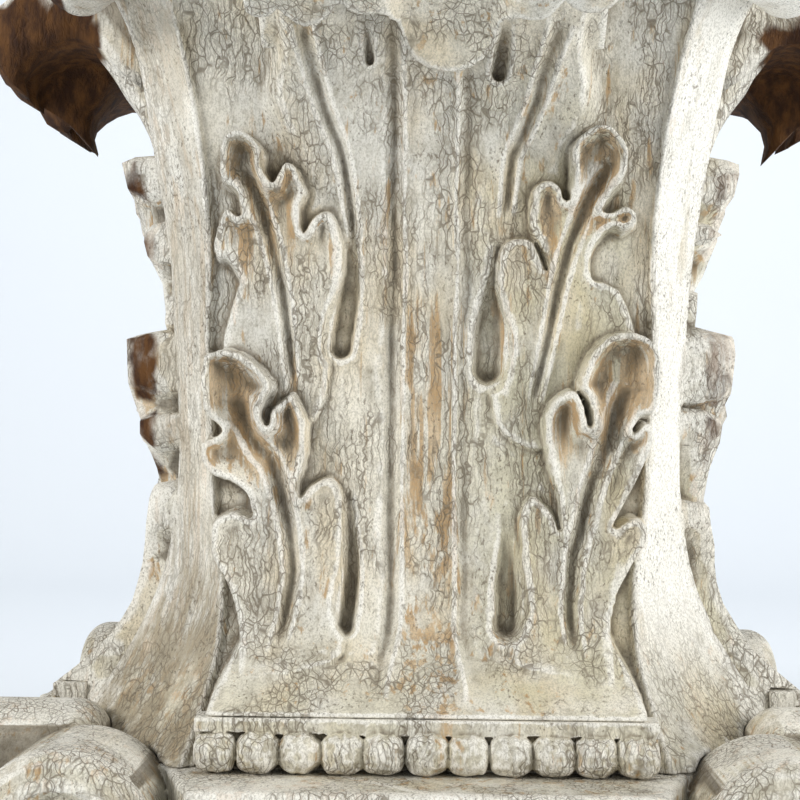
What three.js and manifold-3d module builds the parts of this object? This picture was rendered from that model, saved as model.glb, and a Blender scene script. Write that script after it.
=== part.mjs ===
// A carved wooden Corinthian capital, limewashed and worn: a square plinth with paired corner scrolls, four
// bead mouldings, a waisted bell with one tall acanthus leaf on each face, and an abacus.
// Millimetres, +Z up, the front face towards -Y, the origin under the middle of the plinth.
import * as THREE from "three";
import { mergeVertices } from "three/addons/utils/BufferGeometryUtils.js";
import Module from "manifold-3d";

const wasm = await Module();
wasm.setup();

// Driving dimensions
const totalHeight = 620;
const plinthHeight = 90;
const abacusHeight = 40;
const fitGap = 0.3; // between one glued piece and the next
const mouldingHeight = 30;
const mouldingHalfLength = 127;
const mouldingBack = 212; // distance of the moulding's back from the axis
const mouldingFront = 233; // distance of its fillet's face from the axis
const mouldingWall = 12; // thickness of the strip behind the beads
const filletHeight = 8;
const beadCount = 11;
const beadRadius = 11.3;
const beadSides = 6;
const beadSection = [[0, -1], [0.87, -0.62], [0.87, 0.62], [0, 1]]; // [from its middle, up] in bead radii
const beadSunk = 2; // how far a bead's middle lies behind the fillet's face
const weldDistance = 1e-4;

const bellFoot = plinthHeight + fitGap;
const ledge = plinthHeight + mouldingHeight + fitGap; // the underside that rests on the mouldings
const bellTop = totalHeight - abacusHeight;
const faceAngles = { front: 0, right: 90, back: 180, left: 270 };

// Profiles of the bell, each a list of [height, size]
const bandInner = [
  [90, 135], [115, 129], [150, 122], [190, 122], [230, 129], [270, 131], [330, 134],
  [390, 133], [450, 138], [500, 147], [524, 153], [545, 159], [562, 165], [580, 176],
];
const bandOuter = [
  [90, 226], [115, 205], [150, 183], [190, 166], [230, 158], [270, 156], [330, 159],
  [390, 164], [450, 173], [500, 181], [524, 188], [545, 198], [562, 212], [580, 238],
];
const leafDepth = [
  [120, 233], [135, 214], [150, 199], [171, 186], [207, 175], [240, 168], [270, 165],
  [320, 164], [370, 166], [420, 171], [450, 179], [480, 190], [505, 206], [530, 224], [580, 234],
];
const leafHalfWidth = [
  [120, 126], [140, 117], [157, 112], [180, 115], [202, 120], [230, 124], [270, 126],
  [420, 127], [450, 122], [470, 104], [500, 99], [530, 104], [580, 110],
];
const bandProud = 5; // how far the corner band stands out from the bell beside it
const stemHalfWidth = 17;
const stemSection = [[-2.5, 0], [0.5, 3.5], [5, -3]]; // a thin ridge: [across from the stem's edge, out]
const leafEdgeSection = [[-10, -2], [0, -5], [2, -6]]; // [across from the leaf's edge, out]
const leafInsideBand = 4; // least distance from the leaf's edge to the band
const recessAcross = [0, 15, 18, 24, 112]; // points along the recess behind a moulding
const recessSide = [[1, 0], [1.5, -4]]; // the recess's end: [across from the moulding's end, out]
const loftHeights = [bellFoot, ledge, ledge + 0.4, 137, 160, 205, 270, 370, 440, 480, 510, 540, 562, bellTop];

// Lobes of one half of a leaf: tip and root as [across, height], the half-width, and how far the tip stands out
const lobes = [
  { tip: [112, 326], root: [90, 165], half: 21, out: 27 },
  { tip: [79, 301], root: [76, 190], half: 13, out: 20 },
  { tip: [57, 255], root: [62, 160], half: 14, out: 14 },
  { tip: [129, 262], root: [104, 150], half: 15, out: 14 },
  { tip: [111, 458], root: [88, 338], half: 18, out: 20 },
  { tip: [80, 434], root: [76, 345], half: 12, out: 15 },
  { tip: [60, 408], root: [61, 322], half: 14, out: 11 },
  { tip: [126, 402], root: [104, 325], half: 13, out: 9 },
];
const lobeRows = [
  { along: 0, width: 0.4, rise: 0 },
  { along: 0.72, width: 1, rise: 0.6 },
  { along: 1, width: 0.45, rise: 1 },
];
const lobeSection = [
  { side: -1, share: 0.6 },
  { side: 0, share: 1 },
  { side: 1, share: 0.6 },
];
const lobeBury = 9;

// The curled tip of a leaf in the middle of the face, as [distance from the axis, height]: its surface over the
// top and down the front, and under it the leaf's face, the arch and the back of the hanging tip
const curlOver = [[188, 556], [222, 566], [260, 568], [290, 554], [298, 527], [273, 502], [239, 474]];
const curlUnder = [[188, 496], [205, 508], [219, 524], [226, 516], [229, 503], [231, 491], [232, 478]];
const curlCup = 8; // how far the edges lie back towards the bell
const curlClosing = 0.75; // how nearly its two surfaces meet at the hanging edge
const curlClosingPower = 5; // how late along the curl they draw together
const curlColumns = [
  { across: 0, reach: 1 },
  { across: 20, reach: 0.96 },
  { across: 33, reach: 0.8 },
  { across: 46, reach: 0.86 },
  { across: 61, reach: 0.78 },
  { across: 79, reach: 0.84 },
  { across: 97, reach: 0.72 },
];

// Scrolls
const topScroll = { radius: 28, width: 52, fromAxis: 276, height: 552, sides: 12 };
const footScroll = {
  radius: 51,
  from: 188,
  to: 285,
  innerEase: [[14, 0], [0, 16]], // [inward from its radius, along from its inner end]
  outerEase: [[0, 26], [5, 7], [16, 0]], // [inward from its radius, along from its outer end]
};
const frontScroll = { across: 191, height: 59 };
const sideScroll = { across: 176, height: 68 };
const scrollSides = 12;

// Plinth plan, one eighth turn repeated: [across, out]
const plinthPlan = [[124, 274], [145, 217], [196, 196]];

// Abacus
const abacusCorner = 276; // out to the cut corner's edge
const abacusCut = 234; // across to the cut corner's edge
const abacusHollow = 36; // how far each side is hollowed
const abacusCutGrowth = 0.4; // share of a row's growth that its cut corners take
const abacusRows = [[0, -16], [10, -15], [20, -5], [25, 0], [40, 0]];
const abacusSteps = 6;

// Smooth value at a height from a list of [height, size]
function at(profile, z) {
  const last = profile.length - 1;
  if (z <= profile[0][0]) return profile[0][1];
  if (z >= profile[last][0]) return profile[last][1];
  const i = profile.findIndex((row) => row[0] > z) - 1;
  const slope = (k) => {
    const a = profile[Math.max(k - 1, 0)];
    const b = profile[Math.min(k + 1, last)];
    return (b[1] - a[1]) / (b[0] - a[0]);
  };
  const [z0, v0] = profile[i];
  const [z1, v1] = profile[i + 1];
  const h = z1 - z0;
  const t = (z - z0) / h;
  return (
    (2 * t ** 3 - 3 * t ** 2 + 1) * v0 +
    (t ** 3 - 2 * t ** 2 + t) * h * slope(i) +
    (3 * t ** 2 - 2 * t ** 3) * v1 +
    (t ** 3 - t ** 2) * h * slope(i + 1)
  );
}

// A point on the front face: across to the right, out from the axis, up
const onFace = (across, out, z) => new THREE.Vector3(across, -out, z);

// One face's list of [across, out] repeated on all four faces, at one height
function aroundAxis(face, z) {
  return Object.values(faceAngles).flatMap((angle) => {
    const turn = new THREE.Matrix4().makeRotationZ(THREE.MathUtils.degToRad(angle));
    return face.map(([across, out]) => onFace(across, out, z).applyMatrix4(turn));
  });
}

// Closed solid from a list of triangles, turned so that its faces point out
function solid(points, triangles) {
  const geometry = new THREE.BufferGeometry();
  const xyz = points.flatMap((p) => [p.x, p.y, p.z]);
  geometry.setAttribute("position", new THREE.Float32BufferAttribute(xyz, 3));
  geometry.setIndex(triangles.flat());
  return solidFrom(geometry);
}

function solidFrom(source) {
  const geometry = source.clone();
  geometry.deleteAttribute("normal");
  geometry.deleteAttribute("uv");
  const merged = mergeVertices(geometry, weldDistance);
  const xyz = merged.attributes.position.array;
  const corners = new Uint32Array(merged.index.array);
  let volume = 0;
  const a = new THREE.Vector3();
  const b = new THREE.Vector3();
  const c = new THREE.Vector3();
  for (let i = 0; i < corners.length; i += 3) {
    a.fromArray(xyz, 3 * corners[i]);
    b.fromArray(xyz, 3 * corners[i + 1]);
    c.fromArray(xyz, 3 * corners[i + 2]);
    volume += a.dot(b.cross(c));
  }
  if (volume < 0) {
    for (let i = 0; i < corners.length; i += 3) {
      [corners[i + 1], corners[i + 2]] = [corners[i + 2], corners[i + 1]];
    }
  }
  return new wasm.Manifold(new wasm.Mesh({ numProp: 3, vertProperties: xyz, triVerts: corners }));
}

function geometryOf(made) {
  const mesh = made.getMesh();
  const geometry = new THREE.BufferGeometry();
  geometry.setAttribute("position", new THREE.BufferAttribute(mesh.vertProperties, 3));
  geometry.setIndex(new THREE.BufferAttribute(mesh.triVerts, 1));
  geometry.computeVertexNormals();
  return geometry;
}

// Solid between rings of points, each ring the same length, capped at both ends
function loft(rings) {
  const count = rings[0].length;
  const points = rings.flat();
  const triangles = [];
  for (let r = 0; r + 1 < rings.length; r++) {
    for (let i = 0; i < count; i++) {
      const next = (i + 1) % count;
      const low = r * count;
      const high = low + count;
      triangles.push([low + i, low + next, high + next], [low + i, high + next, high + i]);
    }
  }
  const middle = (ring) => ring.reduce((sum, p) => sum.add(p), new THREE.Vector3()).divideScalar(count);
  const bottom = points.push(middle(rings[0])) - 1;
  const top = points.push(middle(rings[rings.length - 1])) - 1;
  const lastRing = (rings.length - 1) * count;
  for (let i = 0; i < count; i++) {
    const next = (i + 1) % count;
    triangles.push([bottom, next, i], [top, lastRing + i, lastRing + next]);
  }
  return solid(points, triangles);
}

// Solid between a front grid and a back grid of points with the same rows and columns
function slab(front, back) {
  const rows = front.length;
  const columns = front[0].length;
  const points = [...front.flat(), ...back.flat()];
  const offset = rows * columns;
  const id = (r, c) => r * columns + c;
  const triangles = [];
  for (let r = 0; r + 1 < rows; r++) {
    for (let c = 0; c + 1 < columns; c++) {
      const [a, b, d, e] = [id(r, c), id(r, c + 1), id(r + 1, c), id(r + 1, c + 1)];
      triangles.push([a, b, e], [a, e, d]);
      triangles.push([offset + a, offset + e, offset + b], [offset + a, offset + d, offset + e]);
    }
  }
  const rim = [];
  for (let c = 0; c < columns; c++) rim.push(id(0, c));
  for (let r = 1; r < rows; r++) rim.push(id(r, columns - 1));
  for (let c = columns - 2; c >= 0; c--) rim.push(id(rows - 1, c));
  for (let r = rows - 2; r > 0; r--) rim.push(id(r, 0));
  rim.forEach((a, i) => {
    const b = rim[(i + 1) % rim.length];
    triangles.push([b, a, offset + a], [b, offset + a, offset + b]);
  });
  return solid(points, triangles);
}

const turned = (made, degrees) => made.rotate([0, 0, degrees]);
const mirrored = (made) => made.mirror([1, 0, 0]);
const joined = (pieces) => pieces.reduce((sum, piece) => sum.add(piece));
const onEveryFace = (made) => joined(Object.values(faceAngles).map((angle) => turned(made, angle)));

// Bell: half of one face's outline at a height, from the stem to the corner band
function halfOutline(z) {
  const inner = at(bandInner, z);
  const outer = at(bandOuter, z);
  const edge = Math.min(at(leafHalfWidth, z), inner - leafInsideBand);
  const ground = outer - bandProud;
  if (z <= ledge) {
    const back = mouldingBack - fitGap;
    const flat = recessAcross.map((across) => [across, back]);
    const side = recessSide.map(([across, out]) => [mouldingHalfLength + across, back + out]);
    return [...flat, ...side, [inner, outer]];
  }
  const leaf = at(leafDepth, z);
  const stem = stemSection.map(([across, out]) => [stemHalfWidth + across, leaf + out]);
  const leafEdge = leafEdgeSection.map(([across, out]) => [edge + across, leaf + out]);
  leafEdge[2][1] = Math.min(leafEdge[2][1], ground);
  return [[0, leaf], ...stem, ...leafEdge, [inner, outer]];
}

function bellRing(z) {
  const half = halfOutline(z);
  const face = [...half.slice(1).reverse().map(([across, out]) => [-across, out]), ...half];
  return aroundAxis(face, z);
}

function lobe({ tip, root, half, out }) {
  const axis = new THREE.Vector2(tip[0] - root[0], tip[1] - root[1]);
  const sideways = new THREE.Vector2(axis.y, -axis.x).normalize();
  const sheet = (lift) =>
    lobeRows.map(({ along, width, rise }) =>
      lobeSection.map(({ side, share }) => {
        const across = root[0] + axis.x * along + sideways.x * side * half * width;
        const z = root[1] + axis.y * along + sideways.y * side * half * width;
        const height = lift ? out * rise * share : -lobeBury;
        return onFace(across, at(leafDepth, z) + height, z);
      }),
    );
  return slab(sheet(true), sheet(false));
}

// The curled leaf tip: columns across the leaf, each following the curl as far as it reaches
function curl() {
  const columns = [...curlColumns.slice(1).reverse().map((c) => ({ ...c, across: -c.across })), ...curlColumns];
  const widest = curlColumns[curlColumns.length - 1].across;
  const lineThrough = (rows) => new THREE.CatmullRomCurve3(rows.map(([out, z]) => onFace(0, out, z)));
  const over = lineThrough(curlOver);
  const under = lineThrough(curlUnder);
  const sheet = (line) =>
    curlOver.map((_, row) =>
      columns.map(({ across, reach }) => {
        const share = row / (curlOver.length - 1);
        const point = line.getPoint(share * reach);
        // the two surfaces draw together at the hanging edge
        if (line === under) point.lerp(over.getPoint(share * reach), curlClosing * share ** curlClosingPower);
        return point.add(new THREE.Vector3(across, curlCup * share * (across / widest) ** 2, 0));
      }),
    );
  return slab(sheet(over), sheet(under));
}

// Corner scroll under the abacus, its axle across the diagonal
function cornerScroll() {
  const roll = new THREE.CylinderGeometry(topScroll.radius, topScroll.radius, topScroll.width, topScroll.sides);
  roll.rotateZ(Math.PI / 2);
  roll.translate(0, -topScroll.fromAxis, topScroll.height);
  roll.rotateZ(Math.PI / 4);
  return solidFrom(roll);
}

// Foot scrolls: barrels with eased edges, lying front to back and side to side
function barrel({ across, height }, grow) {
  const { radius, from, to, innerEase, outerEase } = footScroll;
  const r = radius + grow;
  const start = from - grow;
  const end = to + grow;
  const inner = innerEase.map(([inward, along]) => [r - inward, start + along]);
  const outer = outerEase.map(([inward, along]) => [r - inward, end - along]);
  const profile = [[0, start], ...inner, ...outer, [0, end]];
  const roll = new THREE.LatheGeometry(profile.map(([x, y]) => new THREE.Vector2(x, y)), scrollSides);
  roll.rotateZ(Math.PI); // its outer end towards the front
  roll.translate(across, 0, height);
  return solidFrom(roll);
}

function footScrolls(grow) {
  const pair = (place) => {
    const right = barrel(place, grow);
    return [right, mirrored(right)];
  };
  const along = pair(frontScroll).flatMap((roll) => [roll, turned(roll, 180)]);
  const across = pair(sideScroll).flatMap((roll) => [turned(roll, 90), turned(roll, 270)]);
  return joined([...along, ...across]);
}

function bell() {
  const half = lobes.map(lobe);
  const face = joined([...half, ...half.map(mirrored), curl()]);
  return joined([loft(loftHeights.map(bellRing)), onEveryFace(face), onEveryFace(cornerScroll())]);
}

function plinth() {
  const quarter = [...plinthPlan, ...plinthPlan.slice(0, 2).reverse().map(([across, out]) => [out, across])];
  const ring = (z) => aroundAxis(quarter, z);
  return loft([ring(0), ring(plinthHeight)]).add(footScrolls(0));
}

function moulding() {
  const floor = plinthHeight + fitGap;
  const top = plinthHeight + mouldingHeight;
  const section = [
    [mouldingBack, floor], [mouldingBack + mouldingWall, floor],
    [mouldingBack + mouldingWall, top - filletHeight - 1], [mouldingFront, top - filletHeight],
    [mouldingFront, top], [mouldingBack, top],
  ];
  const shape = new THREE.Shape(section.map(([out, z]) => new THREE.Vector2(out, z)));
  const bar = new THREE.ExtrudeGeometry(shape, { depth: 2 * mouldingHalfLength, bevelEnabled: false });
  bar.translate(0, 0, -mouldingHalfLength);
  // the section's x runs out from the axis and its y runs up
  bar.applyMatrix4(new THREE.Matrix4().set(0, 0, 1, 0, -1, 0, 0, 0, 0, 1, 0, 0, 0, 0, 0, 1));
  const pitch = (2 * mouldingHalfLength) / beadCount;
  const beads = Array.from({ length: beadCount }, (_, i) => {
    const profile = beadSection.map(([x, y]) => new THREE.Vector2(x * beadRadius, y * beadRadius));
    const bead = new THREE.LatheGeometry(profile, beadSides);
    bead.translate(-mouldingHalfLength + (i + 0.5) * pitch, -(mouldingFront - beadSunk), floor + beadRadius);
    return solidFrom(bead);
  });
  return joined([solidFrom(bar), ...beads]);
}

function abacus() {
  const ring = (z, grow) => {
    const corner = abacusCorner + grow;
    const cut = abacusCut + grow * abacusCutGrowth;
    const side = Array.from({ length: abacusSteps + 1 }, (_, i) => {
      const across = -cut + (2 * cut * i) / abacusSteps;
      return [across, corner - abacusHollow * (1 - (across / cut) ** 2)];
    });
    return aroundAxis(side, z);
  };
  return loft(abacusRows.map(([up, grow], i) => ring(bellTop + (i === 0 ? fitGap : up), grow)));
}

const limewash = { body: "#d9d3c3", plinth: "#d6cfbd", moulding: "#cfc6b2", abacus: "#d4ccba" };

function piece(name, made, colour) {
  const material = new THREE.MeshStandardMaterial({ color: colour, roughness: 0.85, metalness: 0 });
  const mesh = new THREE.Mesh(geometryOf(made), material);
  mesh.name = name;
  return mesh;
}

const capital = new THREE.Group();
capital.add(piece("bell_with_leaves", bell().subtract(footScrolls(fitGap)), limewash.body));
capital.add(piece("plinth_with_scrolls", plinth(), limewash.plinth));
capital.add(piece("abacus", abacus(), limewash.abacus));
for (const [face, angle] of Object.entries(faceAngles)) {
  const strip = piece("bead_moulding_" + face, moulding(), limewash.moulding);
  strip.rotation.z = THREE.MathUtils.degToRad(angle);
  capital.add(strip);
}

export default capital;
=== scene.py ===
import math
import bpy
import numpy as np
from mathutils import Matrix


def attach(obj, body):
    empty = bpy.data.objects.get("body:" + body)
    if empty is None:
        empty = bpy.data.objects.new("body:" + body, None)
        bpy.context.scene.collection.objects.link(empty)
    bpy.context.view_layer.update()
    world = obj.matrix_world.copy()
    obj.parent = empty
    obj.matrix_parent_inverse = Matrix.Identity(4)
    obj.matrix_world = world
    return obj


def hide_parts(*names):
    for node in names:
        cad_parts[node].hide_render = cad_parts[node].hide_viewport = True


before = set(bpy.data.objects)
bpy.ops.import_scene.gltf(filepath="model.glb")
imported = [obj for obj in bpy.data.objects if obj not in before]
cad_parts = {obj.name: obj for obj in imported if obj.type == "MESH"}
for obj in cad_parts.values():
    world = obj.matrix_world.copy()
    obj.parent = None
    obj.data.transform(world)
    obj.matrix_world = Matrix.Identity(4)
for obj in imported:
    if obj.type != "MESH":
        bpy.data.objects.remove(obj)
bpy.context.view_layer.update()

import openvdb
from mathutils import Euler, Vector

mm = 0.001
faceOrder = ["front", "right", "back", "left"]

# small tools for shaping


def smooth(low, high, value):
    t = np.clip((value - low) / (high - low), 0.0, 1.0)
    return t * t * (3.0 - 2.0 * t)


def curveThrough(points):
    # smooth value at a height, drawn the way the profiles of the solids are
    zs = np.array([p[0] for p in points], float)
    vs = np.array([p[1] for p in points], float)
    slopes = np.gradient(vs, zs)
    slopes[0] = (vs[1] - vs[0]) / (zs[1] - zs[0])
    slopes[-1] = (vs[-1] - vs[-2]) / (zs[-1] - zs[-2])
    for k in range(1, len(zs) - 1):
        slopes[k] = (vs[k + 1] - vs[k - 1]) / (zs[k + 1] - zs[k - 1])

    def value(z):
        z = np.clip(z, zs[0], zs[-1])
        i = np.clip(np.searchsorted(zs, z, side="right") - 1, 0, len(zs) - 2)
        h = zs[i + 1] - zs[i]
        t = (z - zs[i]) / h
        return ((2 * t ** 3 - 3 * t ** 2 + 1) * vs[i] + (t ** 3 - 2 * t ** 2 + t) * h * slopes[i]
                + (3 * t ** 2 - 2 * t ** 3) * vs[i + 1] + (t ** 3 - t ** 2) * h * slopes[i + 1])
    return value


def valueNoise(x, z, cellX, cellZ, seed):
    # soft noise from -1 to 1 over a plane, with cells of its own size each way
    rng = np.random.default_rng(seed)
    grid = rng.uniform(-1.0, 1.0, (64, 64))
    u = x / cellX + 20.3
    v = z / cellZ + 11.7
    i = np.floor(u).astype(int)
    j = np.floor(v).astype(int)
    fu = u - i
    fv = v - j
    fu = fu * fu * (3 - 2 * fu)
    fv = fv * fv * (3 - 2 * fv)
    a = grid[i % 64, j % 64]
    b = grid[(i + 1) % 64, j % 64]
    c = grid[i % 64, (j + 1) % 64]
    d = grid[(i + 1) % 64, (j + 1) % 64]
    return (a * (1 - fu) + b * fu) * (1 - fv) + (c * (1 - fu) + d * fu) * fv


def alongPath(x, z, path, endless=True):
    # how far along a bent line each point lies (0 to 1), and how far to its right side
    pts = np.array(path, float)
    lengths = np.hypot(*(pts[1:] - pts[:-1]).T)
    total = lengths.sum()
    best = np.full(x.shape, 1e9)
    share = np.zeros(x.shape)
    side = np.zeros(x.shape)
    start = 0.0
    last = len(lengths) - 1
    for k, length in enumerate(lengths):
        dx, dz = (pts[k + 1] - pts[k]) / length
        along = (x - pts[k][0]) * dx + (z - pts[k][1]) * dz
        low = -1e9 if k == 0 and endless else 0.0
        high = 1e9 if k == last and endless else length
        held = np.clip(along, low, high)
        offX = x - (pts[k][0] + held * dx)
        offZ = z - (pts[k][1] + held * dz)
        away = np.hypot(offX, offZ)
        closer = away < best
        best = np.where(closer, away, best)
        share = np.where(closer, (start + held) / total, share)
        side = np.where(closer, np.where(offX * dz - offZ * dx > 0, away, -away), side)
        start += length
    return share, side


def meshFromField(name, field, origin, voxel, triangles, keepFine=None):
    # closed mesh where the field changes from inside (below 0) to outside, thinned to a number of triangles
    grid = openvdb.FloatGrid(background=3.0 * voxel)
    grid.copyFromArray(np.clip(field, -3.0 * voxel, 3.0 * voxel).astype(np.float32))
    points, tris, quads = grid.convertToPolygons(isovalue=0.0, adaptivity=0.0)
    points = (points * voxel + np.array(origin)) * mm
    mesh = bpy.data.meshes.new(name)
    mesh.from_pydata(points.tolist(), [], [q.tolist() for q in quads] + [t.tolist() for t in tris])
    obj = bpy.data.objects.new(name, mesh)
    bpy.context.scene.collection.objects.link(obj)
    made = 2 * len(quads) + len(tris)
    if made > triangles:
        thin = obj.modifiers.new("thin", "DECIMATE")
        thin.ratio = triangles / made
        if keepFine is not None:
            group = obj.vertex_groups.new(name="fine")
            weights = np.round(1 - 0.95 * keepFine(points / mm), 1)
            for level in np.unique(weights):
                chosen = np.nonzero(weights == level)[0].tolist()
                group.add(chosen, float(level), "REPLACE")
            thin.vertex_group = "fine"
            thin.vertex_group_factor = 1.0
        graph = bpy.context.evaluated_depsgraph_get()
        thinned = bpy.data.meshes.new_from_object(obj.evaluated_get(graph))
        obj.modifiers.clear()
        obj.vertex_groups.clear()
        obj.data = thinned
        bpy.data.meshes.remove(mesh)
        thinned.name = name
    obj.data.polygons.foreach_set("use_smooth", [True] * len(obj.data.polygons))
    print(name, "mesh of", made, "triangles, kept", len(obj.data.polygons))
    return obj


def paintMasks(obj, edgeSteps, hollowSteps, edgeSize, hollowSize):
    # "wear" on proud edges, and dirt with painted shade in hollows, from how far each point stands out of its
    # surroundings
    mesh = obj.data
    count = len(mesh.vertices)
    points = np.empty(count * 3)
    mesh.vertices.foreach_get("co", points)
    points = points.reshape(-1, 3)
    normals = np.empty(count * 3, np.float32)
    mesh.vertices.foreach_get("normal", normals)
    normals = normals.reshape(-1, 3)
    edges = np.empty(len(mesh.edges) * 2, np.int32)
    mesh.edges.foreach_get("vertices", edges)
    edges = edges.reshape(-1, 2)
    ends = np.concatenate([edges[:, 0], edges[:, 1]])
    others = np.concatenate([edges[:, 1], edges[:, 0]])
    degree = np.maximum(np.bincount(ends, minlength=count), 1)
    moved = points.copy()
    results = {}
    for step in range(1, max(edgeSteps, hollowSteps) + 1):
        average = np.stack([np.bincount(ends, moved[others, k], count) / degree for k in range(3)], 1)
        moved = 0.4 * moved + 0.6 * average
        if step == edgeSteps:
            results["wear"] = np.clip(((points - moved) * normals).sum(1) / (edgeSize * mm), -1, 1)
        if step == hollowSteps:
            results["dirtAndShade"] = np.clip(-((points - moved) * normals).sum(1) / (hollowSize * mm), -1, 1)
    for key, values in results.items():
        layer = mesh.attributes.new(key, "FLOAT", "POINT")
        layer.data.foreach_set("value", values.astype(np.float32))
    return points, normals


def addMask(obj, name, values):
    layer = obj.data.attributes.new(name, "FLOAT", "POINT")
    layer.data.foreach_set("value", values.astype(np.float32))


def turnToFace(x, y, face):
    # across and out, as seen from in front of a face
    if face == "front":
        return x, -y
    if face == "right":
        return y, x
    if face == "back":
        return -x, y
    return -y, -x


def scrollField(across, out, z, place):
    # round-edged barrel with a spiral cut into its end
    r = np.hypot(across - place["across"], z - place["height"])
    turn = np.arctan2(z - place["height"], across - place["across"]) / (2 * math.pi)
    wind = (r / place["pitch"] - place["hand"] * turn) % 1.0 - 0.5
    inFace = smooth(place["eye"], place["eye"] + 3, r)
    inFace = inFace * (1 - smooth(place["radius"] - 12, place["radius"] - 6, r))
    groove = place["cut"] * np.exp(-(wind * place["pitch"] / place["line"]) ** 2) * inFace
    dr = r - (place["radius"] - place["edge"])
    dq = np.maximum(out + groove - (place["end"] - place["edge"]), place["start"] + place["edge"] - out)
    inside = np.minimum(np.maximum(dr, dq), 0)
    return inside + np.hypot(np.maximum(dr, 0), np.maximum(dq, 0)) - place["edge"]


footScroll = {"radius": 51, "start": 188, "end": 285, "edge": 19, "pitch": 16, "cut": 5, "line": 3.2,
              "eye": 7}
frontScroll = dict(footScroll, across=191, height=59, hand=1)
sideScroll = dict(footScroll, across=176, height=68, hand=-1)


def footScrolls(x, y, z):
    # the eight scrolls: four lie front to back, four lie side to side
    along = scrollField(np.abs(x), np.abs(y), z, frontScroll)
    across = scrollField(np.abs(y), np.abs(x), z, sideScroll)
    return np.minimum(along, across)


# the bell with its leaves

bell = {
    "voxel": 1.7,
    "triangles": 190000,
    "foot": 90.3,
    "ledge": 120.3,
    "top": 580.0,
    "reach": 297.6,
    # room for a bead strip: half its length, and the distance from the axis where the strip's back lies
    "stripHalf": 128.0,
    "stripFrom": 211.7,
    "bandProud": 5.0,
    "bandInner": [(90, 135), (115, 129), (150, 122), (190, 122), (230, 129), (270, 131), (330, 134),
                  (390, 133), (450, 138), (500, 147), (524, 153), (545, 159), (562, 165), (580, 176)],
    "bandOuter": [(90, 226), (115, 205), (150, 183), (190, 166), (230, 158), (270, 156), (330, 159),
                  (390, 164), (450, 173), (500, 181), (524, 188), (545, 198), (562, 212), (580, 238)],
    "leafDepth": [(120, 233), (135, 214), (150, 199), (171, 186), (207, 175), (240, 168), (270, 165),
                  (320, 164), (370, 166), (420, 171), (450, 179), (480, 190), (505, 206), (530, 224),
                  (580, 234)],
    # the plain sheet of the leaf, which the sprays reach beyond
    "leafEdge": [(120, 126), (140, 117), (157, 109), (185, 98), (230, 92), (300, 90), (400, 85), (440, 88),
                 (470, 103), (500, 99), (530, 104), (580, 110)],
    "stemRidge": {"from": 15.5, "width": 1.7, "height": 2.8, "leftValley": 4.6, "rightValley": 2.6,
                  "splay": 7, "bow": 1.2},
    # brown on the side lobes: bare wood, stronger on the left to paint the shade there
    "lobeBareAndShade": {"left": 0.86, "right": 0.56},
    "shift": {"front": 0, "right": 9, "back": 0, "left": 16},
}

# How the photograph lies on a leaf's face: the pixel column of the leaf's middle, and a pixel row with the
# height in mm that it meets. A pixel covers less where the surface comes nearer to the camera.
picture = {"middle": 430, "row": 445, "rowHeight": 270, "pixel": 0.585, "camera": 1000, "lens": 1400,
           "rounds": 4}


def seen(relief, *pixels):
    # points read in the photograph, as mm on the leaf's face where its relief stands this high
    heights, depths = zip(*bell["leafDepth"])
    points = []
    for column, row in pixels:
        size = picture["pixel"]
        for again in range(picture["rounds"]):
            height = picture["rowHeight"] + (picture["row"] - row) * size
            depth = np.interp(height, heights, depths) + relief
            size = (picture["camera"] - depth) / picture["lens"]
        height = picture["rowHeight"] + (picture["row"] - row) * size
        points.append((round((column - picture["middle"]) * size), round(height)))
    return points


def outline(strokes):
    # each stroke goes on from the end of the one before, and the last one ends where the first begins
    lines = []
    corner = []
    for rim, wide, points in strokes.values():
        lines.append((rim, wide, corner + points))
        corner = points[-1:]
    lines[-1][2].append(lines[0][2][0])
    return lines
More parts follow.
